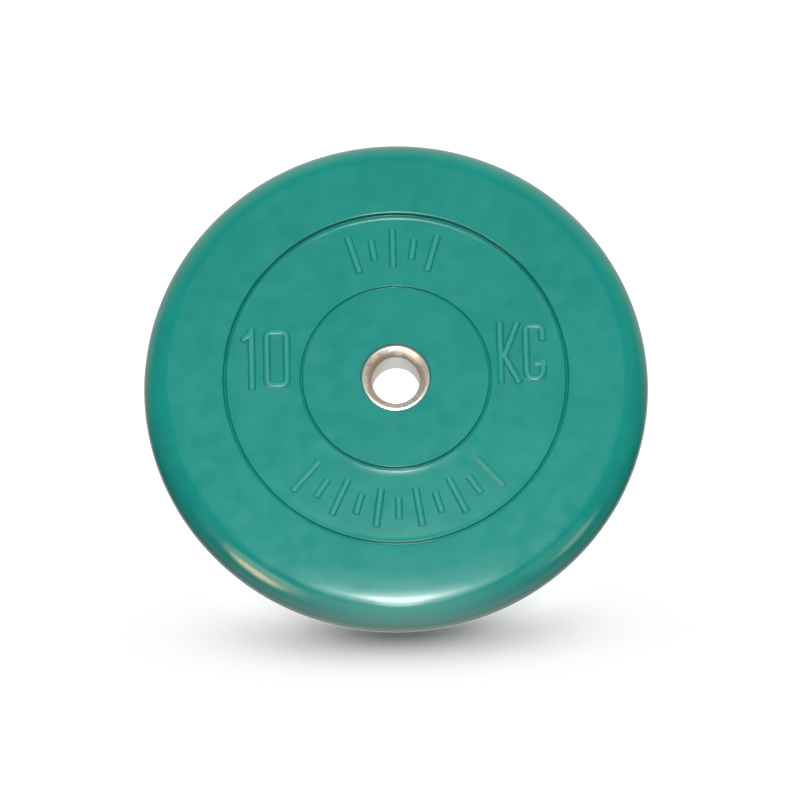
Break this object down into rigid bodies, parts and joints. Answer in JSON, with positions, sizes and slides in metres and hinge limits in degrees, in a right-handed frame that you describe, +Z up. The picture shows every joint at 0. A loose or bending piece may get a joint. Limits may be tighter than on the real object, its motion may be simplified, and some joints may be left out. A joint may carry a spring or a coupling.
{
  "type": "rubber coated weight plate",
  "caption": "Round weight plate with a green rubber coat moulded over an iron core and a steel bush in its bore, which slides on a bar to load it.",
  "frame": {"origin": "The centre of the lower face, on the bore's axis, so the plate lies flat on z = 0.", "axes": "+Z runs up the bore's axis, out of the upper face. X and Y lie in the lower face. On the upper face the number is on the -X side."},
  "size_m": [0.276, 0.276, 0.034],
  "materials": {
    "coat_rubber": "satin",
    "core_iron": "matte",
    "bush_steel": "satin"
  },
  "bodies": {
    "root": {"rubber_coat": "coat_rubber", "iron_core": "core_iron", "steel_bush": "bush_steel"}
  },
  "joints": []
}
